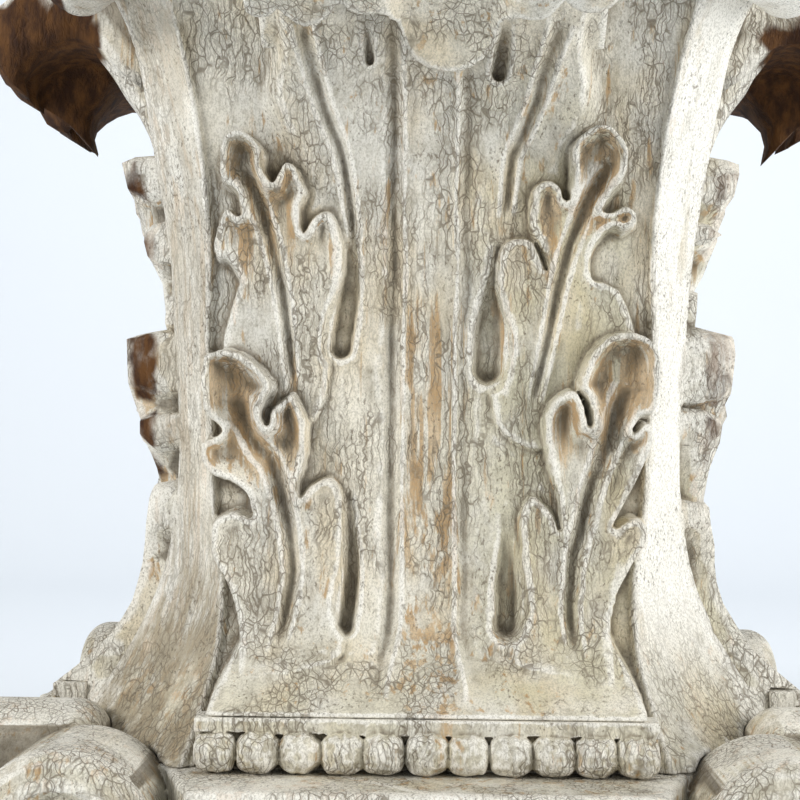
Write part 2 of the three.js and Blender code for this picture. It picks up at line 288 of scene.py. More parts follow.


# The carving of one leaf. Each half has a lower and an upper spray, a closed outline made of strokes; a
# stroke is (height of its raised rim, width of the rim, points). seen() takes pixels, and the other points
# are given in mm.
sprays = {
    "upperLeft": {"tier": "upper", "low": 300, "high": 450, "foot": 2.5, "tip": 11, "dish": 2.5, "strokes": {
        "hood": (9, 7, seen(19, (212, 165), (212, 145), (217.5, 130), (230, 122.5), (245, 127.5),
                            (255, 137.5), (260, 147.5), (260, 160), (263, 170), (269, 176))),
        "second": (5, 4, seen(13, (276, 162.5), (285, 157.5), (294, 162.5), (300, 175), (304, 190),
                              (300, 205), (299.5, 217.5), (302.5, 228))),
        "third": (3, 3, seen(8, (310, 215), (324, 209), (332.5, 215), (340, 235), (344, 255), (342.5, 275),
                             (335, 295), (327.5, 315), (323, 335), (324, 352), (330, 364))),
        "foot": (0, 3, seen(3, (325, 400), (300, 440)) + [(-108, 273)]),
        "side": (0, 3, [(-118, 297), (-125, 326)] + seen(5, (226, 315), (236, 282))),
        "sideLobe": (4, 5, seen(8, (225, 263)) + [(-127, 379), (-130, 386), (-129, 395), (-126, 404)]),
        "notch": (5, 5, [(-121, 411)] + seen(11, (235, 212))),
        "back": (4, 5, seen(14, (230, 192), (217, 180))),
    }},
    "upperRight": {"tier": "upper", "low": 300, "high": 450, "foot": 2.5, "tip": 11, "dish": 2.5, "strokes": {
        "hood": (9, 7, seen(19, (627, 175), (631, 158)) + [(115, 445)]
                 + seen(19, (615, 120), (600, 116), (587, 121), (576, 130), (571, 142), (570, 156))
                 + [(82, 428)]),
        "second": (5, 4, [(80, 416)] + seen(13, (562.5, 182.5), (552.5, 175), (541, 176), (532.5, 185),
                                            (529, 203), (529, 222), (538, 243)) + seen(8, (547.5, 267.5))),
        "third": (3, 3, seen(8, (544, 252.5), (535, 240), (522.5, 235), (507.5, 238), (500, 250),
                             (496, 280), (502.5, 310), (511, 327.5), (512.5, 345), (509, 367.5),
                             (502.5, 385), (491, 392.5))),
        "foot": (0, 3, seen(3, (500, 430), (540, 450)) + [(105, 273)]),
        "side": (0, 3, [(118, 297), (125, 326)] + seen(5, (632, 310)) + [(113, 364)]),
        "sideLobe": (5, 5, [(103, 369), (97, 371)] + seen(8, (595, 250), (610, 229), (625, 230))),
        "notch": (5, 5, [(122, 401), (122, 409)] + seen(11, (627, 198))),
        "back": (4, 4, seen(14, (613, 204), (607, 205), (613, 192))),
    }},
    "lowerLeft": {"tier": "lower", "low": 165, "high": 318, "foot": 3, "tip": 16, "dish": 3, "strokes": {
        "hood": (11, 8, seen(24, (199, 408), (197, 390), (197, 372), (201, 356), (216, 349), (235.5, 351),
                             (252, 360.5), (266, 374), (273, 388), (266, 402), (263, 416), (265.5, 424))),
        "second": (5, 4.5, seen(15, (272, 410), (285.5, 397), (291, 392.5), (302, 408), (309, 427),
                                (309, 449), (305, 469), (299.5, 485.5), (301, 497))),
        "third": (3, 3, seen(9, (310.5, 485.5), (330, 477), (341, 488), (347, 508), (347, 530), (344, 558),
                             (340, 580), (337, 602), (338, 622), (347, 638))),
        "foot": (0, 3, [(-50, 148), (-73, 140), (-90, 138)] + seen(3, (240, 690))),
        "side": (0, 3, seen(3, (240, 640), (234, 605)) + [(-120, 191)]),
        "sideLobe": (6, 7, seen(10, (210.5, 558), (209, 535.5), (213, 522), (224, 515), (236, 512),
                                    (251, 516))),
        "notch": (7, 7, seen(16, (244, 499), (230, 485.5), (210.5, 480), (199, 463), (198, 444))),
        "back": (4, 5, seen(19, (208, 438)) + [(-124, 278)] + seen(22, (205, 420))),
    }},
    "lowerRight": {"tier": "lower", "low": 165, "high": 325, "foot": 3, "tip": 16, "dish": 3, "strokes": {
        "hood": (11, 8, seen(24, (659.5, 412), (665, 389.5)) + [(136, 313)]
                 + seen(24, (662, 348), (651, 332.5), (631.7, 327), (612, 331.5), (595.5, 345),
                        (584.5, 364.5), (580, 384)) + [(91, 295)] + seen(15, (590, 423))),
        "second": (5, 4.5, seen(15, (588.6, 406), (581.7, 392), (570.5, 386.7), (554, 398), (545.5, 412),
                                (544, 428), (548, 456), (554, 478), (560, 500)) + [(77, 222)]),
        "third": (3, 3, seen(9, (556.7, 514), (548, 503), (536, 495), (526, 503), (520.5, 520), (523, 542),
                             (523, 556), (529, 584), (530, 612), (523, 634), (515, 643.6))),
        "foot": (0, 3, seen(3, (520, 665), (560, 676), (590, 680)) + [(106, 133)]),
        "side": (0, 3, seen(3, (618, 653)) + [(107, 166)] + seen(3, (622, 590))),
        "sideLobe": (6, 7, seen(10, (640, 560), (652, 540), (648, 521), (635, 515)) + seen(16, (619, 525))),
        "notch": (7, 7, seen(16, (632, 498), (645.5, 470), (658, 442), (659.5, 425.5))),
        "back": (4, 5, seen(19, (648, 416), (637, 428)) + seen(22, (645, 420))),
    }},
}
# long flutes: a cut channel between two thin rims, (depth, half the width, height of the rims, path)
flutes = {
    "upper": [
        (3.6, 3.6, 2.6, seen(10, (243, 165), (257, 210), (270, 245), (279, 285), (284, 320), (290, 365),
                             (293, 395))),
        (3.6, 3.6, 2.6, seen(10, (609, 156), (605, 168), (587.5, 200), (572.5, 235), (562.5, 270),
                             (554, 315), (545, 360), (539, 390), (537, 420))),
        (3.6, 3.6, 2.4, [(-75, 512)] + seen(4, (305, 50), (322, 105), (335, 140), (343, 170), (349, 205),
                                            (356, 250))),
        (3.8, 3.6, 2.4, [(74, 512)] + seen(4, (543, 70), (535, 97.5), (522.5, 130), (512.5, 155),
                                           (507.5, 190), (505, 225))),
    ],
    "lower": [
        (4.4, 4.4, 3.0, seen(14, (233, 398), (240, 410.5), (258, 447), (272, 466), (283, 497), (290, 541),
                             (292.5, 574), (288, 608), (280, 649), (274, 668))),
        (4.4, 4.4, 3.0, seen(14, (629, 384), (623, 400.6), (612, 431), (604, 459), (595.5, 481), (587, 520),
                             (579, 553), (576, 586.7), (576, 614.4), (580, 653), (583, 674))),
    ],
}
# eyes: channels that widen and deepen downwards and end round, (depth, half the width, path from the top),
# given in mm
eyes = [
    (12, 5.2, [(-47, 240), (-44.5, 214), (-44.5, 191), (-47, 165)]),
    (14, 6.8, [(-48, 408), (-47, 380), (-49, 356), (-53, 328)]),
    (12, 8.0, [(46, 232), (46.5, 202), (47, 180), (46, 166)]),
    (14, 9.5, [(41, 388), (38, 362), (36, 339), (35, 316)]),
    (7, 3.0, [(-38, 515), (-37, 504), (-36, 493)]),
    (10, 5.0, [(43, 518), (41, 500), (39, 487)]),
]
curl = {
    # over the top and down the front, and under it the arch and the back, as (distance from the axis, height)
    "over": [(188, 556), (222, 566), (260, 568), (290, 554), (293, 527), (265, 503), (239, 474)],
    "under": [(188, 496), (205, 508), (219, 524), (226, 516), (229, 503), (231, 491), (232, 478)],
    # the same for the fingers on both sides of the middle one, which are thinner and hang straighter
    "sideOver": [(188, 556), (222, 566), (260, 568), (290, 556), (297, 532), (289, 509), (266, 492)],
    "sideUnder": [(188, 500), (205, 512), (219, 526), (236, 531), (255, 523), (264, 510), (260, 496)],
    # the fingers of the tip: middle, half the width, how far each reaches round the curl
    "fingers": [(9, 31, 1.0), (-34, 19, 0.96), (-66, 19, 1.0), (-91, 14, 0.96), (53, 18, 0.98),
                (83, 18, 0.94)],
    "halfWidth": 100,
    "cup": 8,
    "plump": 8,
    "closing": 0.75,
    "notch": {"front": 0.8, "right": 0.66, "back": 0.74, "left": 0.66},
}
topScroll = {"radius": 28, "halfLength": 26, "fromAxis": 276, "height": 552, "pitch": 13.0, "cut": 4.0,
             "line": 2.6, "eye": 5, "waist": 3.0}


def spline(points, steps=5):
    pts = np.array(points, float)
    if len(pts) < 3:
        return pts
    pts = np.vstack([2 * pts[0] - pts[1], pts, 2 * pts[-1] - pts[-2]])
    t = (np.arange(steps) / steps)[:, None]
    pieces = []
    for k in range(1, len(pts) - 2):
        p0, p1, p2, p3 = pts[k - 1:k + 3]
        pieces.append(0.5 * (2 * p1 + (p2 - p0) * t + (2 * p0 - 5 * p1 + 4 * p2 - p3) * t ** 2
                             + (3 * p1 - p0 - 3 * p2 + p3) * t ** 3))
    pieces.append(pts[-2:-1])
    return np.vstack(pieces)


def sprayRelief(x, z, spray, domed=False):
    # height of one spray over the leaf, and how much of it covers each point
    strokes = [(rim, wide, spline(points)) for rim, wide, points in outline(spray["strokes"])]
    nearest = np.full(x.shape, 1e9)
    inside = np.zeros(x.shape, bool)
    rims = np.zeros(x.shape)
    for rim, wide, line in strokes:
        away = np.full(x.shape, 1e9)
        for (ax, az), (bx, bz) in zip(line[:-1], line[1:]):
            dx, dz = bx - ax, bz - az
            long = dx * dx + dz * dz + 1e-9
            t = np.clip(((x - ax) * dx + (z - az) * dz) / long, 0, 1)
            away = np.minimum(away, (x - ax - t * dx) ** 2 + (z - az - t * dz) ** 2)
            crosses = (az > z) != (bz > z)
            inside ^= crosses & (x < ax + (z - az) * dx / (dz if abs(dz) > 1e-9 else 1e-9))
        away = np.sqrt(away)
        rims = np.maximum(rims, rim * np.exp(-(away / wide) ** 2))
        nearest = np.minimum(nearest, away)
    depth = np.where(inside, nearest, -nearest)
    rise = spray["foot"] + (spray["tip"] - spray["foot"]) * smooth(spray["low"], spray["high"], z) ** 1.1
    rims = rims * (0.3 + 0.7 * smooth(spray["low"] + 50, spray["high"] - 25, z))
    ribs = 0.9 * valueNoise(x, z, 7, 38, 300 + int(spray["high"])) * smooth(3, 9, depth)
    hood = smooth(spray["high"] - 80, spray["high"] - 35, z)
    rise = rise + rims + ribs - spray["dish"] * smooth(2, 16, depth) - 4.0 * smooth(4, 10, depth) * hood
    rise = rise - 3.5 * (1 - smooth(0, 5, depth)) * smooth(spray["low"] + 40, spray["high"] - 30, z)
    if domed:
        rise = rise * (0.3 + 0.7 * smooth(-1, 9, depth))
        rise = rise + 11 * smooth(1, 10, depth) * smooth(spray["low"] + 60, spray["high"] - 35, z)
    cover = smooth(-0.8, 2.4, depth)
    shadow = -1.6 * np.exp(-(np.maximum(-depth, 0) / 3.5) ** 2) * (1 - cover)
    return rise, cover, shadow, depth


def carveFlutes(x, z, which):
    relief = np.zeros(x.shape)
    for deep, half, rim, path in flutes[which]:
        share, side = alongPath(x, z, spline(path, 3))
        ends = smooth(-0.03, 0.06, share) * (1 - smooth(0.82, 1.0, share)) * (share > 0) * (share < 1)
        narrow = half * (1.1 - 0.45 * np.clip(share, 0, 1))
        u = np.abs(side) / narrow
        cut = -deep * np.exp(-u ** 2.4) + rim * np.exp(-((u - 1.75) / 0.6) ** 2)
        relief += cut * ends
    return relief


def carveEyes(x, z):
    relief = np.zeros(x.shape)
    for deep, half, path in eyes:
        share, side = alongPath(x, z, spline(path, 3), endless=False)
        away = np.abs(side)
        t = np.clip(share, 0, 1)
        width = half * (0.3 + 0.7 * smooth(0.0, 0.75, t))
        u = away / width
        cut = -deep * (0.12 + 0.88 * smooth(0.1, 0.9, t)) * (1 - smooth(0.45, 1.15, u))
        rim = 1.8 * np.exp(-((u - 1.35) / 0.25) ** 2) * smooth(0.2, 0.8, t)
        relief += np.where(away < 2.2 * half, cut + rim, 0)
    return relief


def carve(x, z, domed):
    # the carving of one whole leaf over its face, and how far the sprays reach over the bell beside it
    relief = np.zeros(x.shape)
    cover = np.zeros(x.shape)
    relief += carveFlutes(x, z, "upper") + carveEyes(x, z)
    for tier in ("upper", "lower"):
        for spray in sprays.values():
            if spray["tier"] != tier:
                continue
            rise, over, shadow, _ = sprayRelief(x, z, spray, domed)
            rise = rise + carveFlutes(x, z, tier)
            relief = (relief + shadow) * (1 - over) + rise * over
            cover = np.maximum(cover, over)
    return relief, cover


def faceSurface(x, z, face):
    # how far the surface of one face stands from the axis
    seed = faceOrder.index(face)
    wide = np.abs(x)
    inner = curveThrough(bell["bandInner"])(z)
    outer = curveThrough(bell["bandOuter"])(z)
    band = np.minimum(outer, inner + outer - wide)
    ground = band - bell["bandProud"] * (1 - smooth(inner - 3.0, inner + 1.0, wide))
    ground = ground + 0.35 * valueNoise(x, z, 9, 60, 50 + seed) * (wide < inner + 12)
    lumps = np.maximum(valueNoise(x, z, 10, 8, 55 + seed) + 0.25, 0)  # filler pressed in under the bands
    ground = ground + 5 * lumps * smooth(128, 134, wide) * (1 - smooth(97, 108, z))
    leaf = curveThrough(bell["leafDepth"])(z)
    edge = np.minimum(curveThrough(bell["leafEdge"])(z), inner - 4)
    ridge = bell["stemRidge"]
    ridgeAt = ridge["from"] + ridge["splay"] * (1 - smooth(128, 168, z))
    bow = ridge["bow"] * valueNoise(x * 0, z, 40, 45, 70 + seed)
    offset = x - bow
    leftAway = -offset - ridgeAt
    rightAway = offset - ridgeAt
    stem = np.zeros(x.shape)
    for away, valley in ((leftAway, ridge["leftValley"]), (rightAway, ridge["rightValley"])):
        stem += ridge["height"] * np.exp(-(away / ridge["width"]) ** 2)
        stem -= valley * np.exp(-((away - 6.5) / 4.0) ** 2)
    stem -= 0.8 * (1 - smooth(ridgeAt - 5, ridgeAt - 2, np.abs(offset)))
    shift = bell["shift"][face]
    side = x if face in ("front", "back") else -x
    relief, cover = carve(side, z - shift * (1 - smooth(330, 400, z)), face in ("left", "right"))
    fade = smooth(128, 152, z) * (1 - smooth(512, 534, z))
    tool = 0.55 * valueNoise(x, z, 6, 34, 30 + seed) + 0.5 * valueNoise(x, z, 15, 17, 40 + seed)
    tool += 0.3 * valueNoise(x, z, 3.4, 9, 45 + seed)
    tool -= 1.6 * np.abs(valueNoise(x, z, 8, 6, 47 + seed)) * (1 - smooth(121, 131, z))
    line = z - 150 - 3 * valueNoise(x, z * 0, 30, 9, 48 + seed)  # a carved line across the leaf's foot
    tool -= 1.3 * np.exp(-(line / 1.6) ** 2) * smooth(22, 30, wide) * (1 - smooth(92, 104, wide))
    sheet = leaf + relief * fade + stem * smooth(124, 140, z) + tool * smooth(121, 128, z)
    ease = 3.0 + 13.0 * smooth(320, 430, z)
    reach = np.maximum(1 - smooth(edge - ease, edge + 1.0, wide), cover * (z > 150))
    return np.where(reach > 0.001, np.maximum(ground, ground + (sheet - ground) * reach), ground)


def curlMesh(face):
    # closed shell of one curled tip in its face's own frame
    seed = faceOrder.index(face)
    rng = np.random.default_rng(90 + seed)
    across = np.linspace(-curl["halfWidth"], curl["halfWidth"], 134)
    notch = curl["notch"][face]
    reach = np.full(across.shape, notch)
    plump = np.zeros(across.shape)
    for middle, half, far in curl["fingers"]:
        if seed:
            middle = middle + rng.uniform(-3, 3)
        u = np.clip(np.abs(across - middle) / half, 0, 1)
        bulge = np.sqrt(1 - u ** 2.2)
        reach = np.maximum(reach, notch + (far - notch) * bulge)
        plump = np.maximum(plump, bulge)
    rows = 60
    t = np.linspace(0, 1, rows)
    index = np.arange(len(curl["over"]))

    def lineAt(rowsOf, share):
        pts = np.array(rowsOf, float)
        out = curveThrough(list(zip(index, pts[:, 0])))(share * index[-1])
        up = curveThrough(list(zip(index, pts[:, 1])))(share * index[-1])
        return out, up
    share = t[:, None] * reach[None, :]
    aside = smooth(20, 38, np.abs(across - 9))[None, :]

    def between(middle, side):
        # from the line of the middle finger to the line of the fingers beside it
        return [a + (b - a) * aside for a, b in zip(lineAt(middle, share), lineAt(side, share))]
    overOut, overUp = between(curl["over"], curl["sideOver"])
    underOut, underUp = between(curl["under"], curl["sideUnder"])
    closing = curl["closing"] * t[:, None] ** 5  # the two surfaces draw together at the hanging edge
    underOut = underOut + (overOut - underOut) * closing
    underUp = underUp + (overUp - underUp) * closing
    bend = t[:, None] * (across[None, :] / curl["halfWidth"]) ** 2
    hang = smooth(0.35, 0.75, t)[:, None]
    valley = (1 - plump)[None, :] * curl["plump"] * hang
    middleOut = (overOut + underOut) / 2
    middleUp = (overUp + underUp) / 2
    length = np.maximum(np.hypot(overOut - middleOut, overUp - middleUp), 1.0)
    sink = np.minimum(valley / length, 0.85)
    overOut = overOut + (middleOut - overOut) * sink
    overUp = overUp + (middleUp - overUp) * sink
    stemGroove = 3.0 * np.exp(-((across - 9) / 4.5) ** 2)[None, :] * hang * (1 - smooth(0.9, 1.0, t))[:, None]
    overOut = overOut - stemGroove * 0.7
    overUp = overUp + stemGroove * 0.3
    overOut = overOut - curl["cup"] * bend
    underOut = underOut - curl["cup"] * bend
    wide = np.repeat(across[None, :], rows, 0)
    front = np.stack([wide, -overOut, overUp], -1)
    back = np.stack([wide, -underOut, underUp], -1)
    points = np.concatenate([front.reshape(-1, 3), back.reshape(-1, 3)])
    columns = len(across)
    first = np.arange(rows * columns).reshape(rows, columns)
    second = first + rows * columns
    quads = [
        np.stack([first[:-1, :-1], first[:-1, 1:], first[1:, 1:], first[1:, :-1]], -1).reshape(-1, 4),
        np.stack([second[:-1, :-1], second[1:, :-1], second[1:, 1:], second[:-1, 1:]], -1).reshape(-1, 4),
    ]
    rim = np.concatenate([first[0, :-1], first[:-1, -1], first[-1, :0:-1], first[:0:-1, 0]])
    after = np.roll(rim, -1)
    quads.append(np.stack([after, rim, rim + rows * columns, after + rows * columns], -1))
    return points, np.concatenate(quads)


def toWorld(points, face):
    x, y, z = points.T
    if face == "right":
        x, y = -y, x
    elif face == "back":
        x, y = -x, -y
    elif face == "left":
        x, y = y, -x
    return np.stack([x, y, z], 1)


def bellField():
    voxel = bell["voxel"]
    low = np.array([-303.0, -303.0, 86.0])
    size = np.array([int(606 / voxel) + 1, int(606 / voxel) + 1, int(498 / voxel) + 2])
    axes = [low[k] + np.arange(size[k]) * voxel for k in range(3)]
    planX, planY = np.meshgrid(axes[0], axes[1], indexing="ij")
    field = np.full(size, -3.0 * voxel, np.float32)
    for face in faceOrder:
        across, out = turnToFace(planX, planY, face)
        mine = (out >= np.abs(across)) & (out > 120)
        gridX, gridZ = np.meshgrid(axes[0], axes[2], indexing="ij")
        surface = faceSurface(gridX, gridZ, face)
        column = np.clip(np.round((across[mine] - low[0]) / voxel).astype(int), 0, size[0] - 1)
        values = out[mine][:, None] - surface[column]
        recess = np.abs(across[mine])[:, None] - bell["stripHalf"]
        recess = np.maximum(recess, bell["stripFrom"] - out[mine][:, None])
        recess = np.maximum(recess, axes[2][None, :] - bell["ledge"])
        field[mine] = np.maximum(values, -recess)
    # curled tips
    for face in faceOrder:
        points, quads = curlMesh(face)
        points = (toWorld(points, face) - low) / voxel
        shell = openvdb.FloatGrid.createLevelSetFromPolygons(
            points.astype(np.float32), quads=quads.astype(np.uint32), halfWidth=3.0)
        start = np.floor(points.min(0)).astype(int) - 4
        end = np.ceil(points.max(0)).astype(int) + 5
        start = np.maximum(start, 0)
        end = np.minimum(end, size)
        block = np.full(end - start, 3.0, np.float32)
        shell.copyToArray(block, ijk=tuple(int(k) for k in start))
        part = field[start[0]:end[0], start[1]:end[1], start[2]:end[2]]
        np.minimum(part, block * voxel, out=part)
    # corner scrolls at the top
    k0 = int((505 - low[2]) / voxel)
    zs = axes[2][k0:][None, None, :]
    diagonal = (np.abs(planX) + np.abs(planY)) / math.sqrt(2)
    sideways = (np.abs(planX) - np.abs(planY)) / math.sqrt(2)
    near = (diagonal > 230) & (np.abs(sideways) < 40)
    outward = diagonal[near][:, None] - topScroll["fromAxis"]
    r = np.hypot(outward, zs[0] - topScroll["height"])
    turn = np.arctan2(zs[0] - topScroll["height"], outward) / (2 * math.pi)
    wind = (r / topScroll["pitch"] - turn) % 1.0 - 0.5
    groove = topScroll["cut"] * np.exp(-(wind * topScroll["pitch"] / topScroll["line"]) ** 2)
    groove = groove * (r > topScroll["eye"]) * (r < topScroll["radius"] - 3)
    ends = np.abs(sideways[near])[:, None] + groove - topScroll["halfLength"]
    alongRoll = np.clip(sideways[near][:, None] / topScroll["halfLength"], -1, 1)
    waist = topScroll["waist"] * np.cos(alongRoll * math.pi / 2)
    roll = np.maximum(r - (topScroll["radius"] - waist), ends)
    upper = field[:, :, k0:]
    upper[near] = np.minimum(upper[near], roll)
    # room for the foot scrolls, and flat cuts at the foot and top
    k1 = int((130 - low[2]) / voxel)
    footZ = axes[2][:k1][None, None, :]
    room = footScrolls(planX[:, :, None], planY[:, :, None], footZ) - 0.6
    lower = field[:, :, :k1]
    np.maximum(lower, -room, out=lower)
    limit = np.maximum(np.abs(planX), np.abs(planY)) - bell["reach"]
    np.maximum(field, limit[:, :, None], out=field)
    np.maximum(field, (axes[2] - bell["top"])[None, None, :], out=field)
    np.maximum(field, (bell["foot"] - axes[2])[None, None, :], out=field)
    return field, low


def makeBell():
    field, low = bellField()

    def keepFine(points):
        x, y, z = points.T
        front = smooth(60, 150, -y) * (1 - smooth(0, 60, np.abs(x) + y))
        return np.clip(0.15 + 0.85 * front, 0.0, 1.0)
    return meshFromField("bell", field, low, bell["voxel"], bell["triangles"], keepFine)


# plinth

plinth = {"voxel": 1.9, "triangles": 90000, "top": 90.0, "face": 274.0, "halfWidth": 124.0, "flare": 0.37,
          "coreFrom": 217.0, "coreAcross": 145.0, "coreSlope": 0.412, "wear": 0.7, "grimeShare": 0.6}


def makePlinth():
    voxel = plinth["voxel"]
    low = np.array([-292.0, -292.0, -5.0])
    size = np.array([int(584 / voxel) + 1, int(584 / voxel) + 1, int(132 / voxel) + 1])
    axes = [low[k] + np.arange(size[k]) * voxel for k in range(3)]
    x, y = np.meshgrid(axes[0], axes[1], indexing="ij")
    z = axes[2][None, None, :]
    core = np.full(x.shape, -1e3)
    block = np.full(x.shape, 1e3)
    for face in faceOrder:
        across, out = turnToFace(x, y, face)
        wide = np.abs(across)
        slope = plinth["coreSlope"]
        flare = plinth["flare"]
        corner = (out - (plinth["coreFrom"] - slope * (wide - plinth["coreAcross"]))) / math.hypot(1, slope)
        core = np.maximum(core, corner)
        sides = (wide - plinth["halfWidth"] - flare * (plinth["face"] - out)) / math.hypot(1, flare)
        front = out - plinth["face"]
        one = np.minimum(np.maximum(sides, front), 0) + np.hypot(np.maximum(sides, 0), np.maximum(front, 0))
        block = np.minimum(block, np.maximum(one, 100 - out))
    plan = np.minimum(core, block)[:, :, None] + 3.0
    rise = z - (plinth["top"] - 3.0)
    body = np.minimum(np.maximum(plan, rise), 0) + np.hypot(np.maximum(plan, 0), np.maximum(rise, 0)) - 3.0
    body = np.maximum(body, -z)
    scrolls = np.maximum(footScrolls(x[:, :, None], y[:, :, None], z), -z)
    field = np.minimum(body, scrolls)
    wear = plinth["wear"] * (valueNoise(x, y, 23, 27, 5) + 0.5 * valueNoise(x, y, 9, 8, 6))
    worn = (np.abs(wear) * 0.6)[:, :, None] * (1 - smooth(84, 90, z)) * smooth(3, 8, z)
    field = np.maximum(field, field + worn)
    return meshFromField("plinth", field, low, voxel, plinth["triangles"])


# bead mouldings

moulding = {"voxel": 0.8, "triangles": 24000, "count": 11, "halfLength": 127.0, "back": 212.0, "wall": 223.0,
            "front": 233.0, "filletBottom": 111.5, "top": 120.0, "bottom": 90.3, "beadAt": 231.0,
            "beadRadius": 11.6, "beadDepth": 12.0, "beadScale": 10.5, "squareness": 2.9, "blend": 0.8,
            "rough": 1.1, "flats": 7, "grimeShare": 0.75}


def softMin(a, b, size):
    h = np.clip(0.5 + 0.5 * (b - a) / size, 0, 1)
    return b * (1 - h) + a * h - size * h * (1 - h)


def makeMoulding(face):
    seed = 200 + faceOrder.index(face)
    rng = np.random.default_rng(seed)
    voxel = moulding["voxel"]
    low = np.array([-130.0, -247.0, 88.0])
    size = np.array([int(260 / voxel) + 1, int(38 / voxel) + 1, int(35 / voxel) + 1])
    axes = [low[k] + np.arange(size[k]) * voxel for k in range(3)]
    x, y, z = np.meshgrid(*axes, indexing="ij")
    out = -y
    wavy = 0.9 * valueNoise(x, z * 0, 19, 9, seed) + 0.35 * valueNoise(x, z * 0, 8, 9, seed + 3)
    fillet = np.maximum(out - moulding["front"] + np.abs(wavy), moulding["filletBottom"] + wavy - z)
    fillet = np.maximum(fillet, z - moulding["top"])
    wall = np.maximum(out - moulding["wall"] - 5 * smooth(102, 109, z), z - moulding["top"])
    bar = np.minimum(fillet, wall)
    bar = np.maximum(bar, moulding["back"] - out)
    field = np.maximum(bar, moulding["bottom"] - z)
    pitch = 2 * moulding["halfLength"] / moulding["count"]
    for i in range(moulding["count"]):
        cx = -moulding["halfLength"] + (i + 0.5) * pitch + rng.uniform(-0.7, 0.7)
        cz = moulding["bottom"] + moulding["beadRadius"] - 0.2
        rx = pitch / 2 * rng.uniform(1.04, 1.1)
        rz = moulding["beadRadius"] * rng.uniform(0.96, 1.02)
        ry = moulding["beadDepth"] * rng.uniform(0.95, 1.03)
        power = moulding["squareness"]
        u = (x - cx) / rx
        v = (out - moulding["beadAt"]) / ry
        w = (z - cz) / rz
        plan = np.abs(u) ** power + np.abs(w) ** power
        ball = ((plan ** (2 / power) + v * v) ** 0.5 - 1) * moulding["beadScale"]
        ball += 0.45 * valueNoise(x - cx, z, 3.1, 26, seed + 20 + i)
        for _ in range(moulding["flats"]):  # flats left by the gouge
            d = rng.normal(size=3)
            d[1] = abs(d[1]) + 0.3
            d /= np.linalg.norm(d)
            cut = (u * d[0] + v * d[1] + w * d[2] - rng.uniform(0.93, 1.06)) * moulding["beadScale"]
            ball = np.maximum(ball, cut)
        ball = np.maximum(ball, np.maximum(moulding["bottom"] - z, moulding["back"] - out))
        field = softMin(field, ball, moulding["blend"])
    coarse = valueNoise(x, z, 4.5, 4.0, seed + 7)
    rough = moulding["rough"] * (coarse + valueNoise(x, z, 2.2, 2.6, seed + 8) * 0.5)
    proud = smooth(moulding["back"] + 6, moulding["back"] + 10, out)
    proud = proud * smooth(92, 96, z) * (1 - smooth(117, 120, z))
    field = field + np.abs(rough) * 0.5 * proud
    field = np.maximum(field, np.abs(x) - moulding["halfLength"])
    obj = meshFromField("mould_" + face, field, low, voxel, moulding["triangles"])
    points = np.empty(len(obj.data.vertices) * 3)
    obj.data.vertices.foreach_get("co", points)
    obj.data.vertices.foreach_set("co", toWorld(points.reshape(-1, 3), face).ravel())
    obj.data.update()
    return obj


# abacus

abacus = {"voxel": 1.9, "triangles": 60000, "corner": 276.0, "cut": 234.0, "hollow": 36.0, "under": 580.3,
          "top": 620.0, "section": [(580, -16), (590, -15), (600, -5), (605, 0), (620, 0)]}


def makeAbacus():
    voxel = abacus["voxel"]
    low = np.array([-283.0, -283.0, 575.0])
    size = np.array([int(566 / voxel) + 1, int(566 / voxel) + 1, int(50 / voxel) + 1])
    axes = [low[k] + np.arange(size[k]) * voxel for k in range(3)]
    x, y = np.meshgrid(axes[0], axes[1], indexing="ij")
    zs = [p[0] for p in abacus["section"]]
    grow = np.interp(axes[2], zs, [p[1] for p in abacus["section"]])[None, None, :]
    field = np.full(size, -1e3)
    for face in faceOrder:
        across, out = turnToFace(x, y, face)
        cut = abacus["cut"] + 0.4 * grow
        side = abacus["corner"] + grow - abacus["hollow"] * (1 - (across[:, :, None] / cut) ** 2)
        field = np.maximum(field, out[:, :, None] - side)
    diagonal = (np.abs(x) + np.abs(y))[:, :, None]
    field = np.maximum(field, (diagonal - (abacus["corner"] + grow + cut)) / math.sqrt(2))
    wear = 0.8 * np.abs(valueNoise(x, y, 21, 24, 61)) + 0.3 * np.abs(valueNoise(x, y, 6, 7, 62))
    field = field + wear[:, :, None]
    field = np.maximum(field, np.maximum(axes[2] - abacus["top"], abacus["under"] - axes[2])[None, None, :])
    return meshFromField("abacus_slab", field, low, voxel, abacus["triangles"])


# limewashed wood


def srgb(text):
    values = [int(text[k:k + 2], 16) / 255 for k in (0, 2, 4)]
    return [v / 12.92 if v <= 0.04045 else ((v + 0.055) / 1.055) ** 2.4 for v in values] + [1.0]


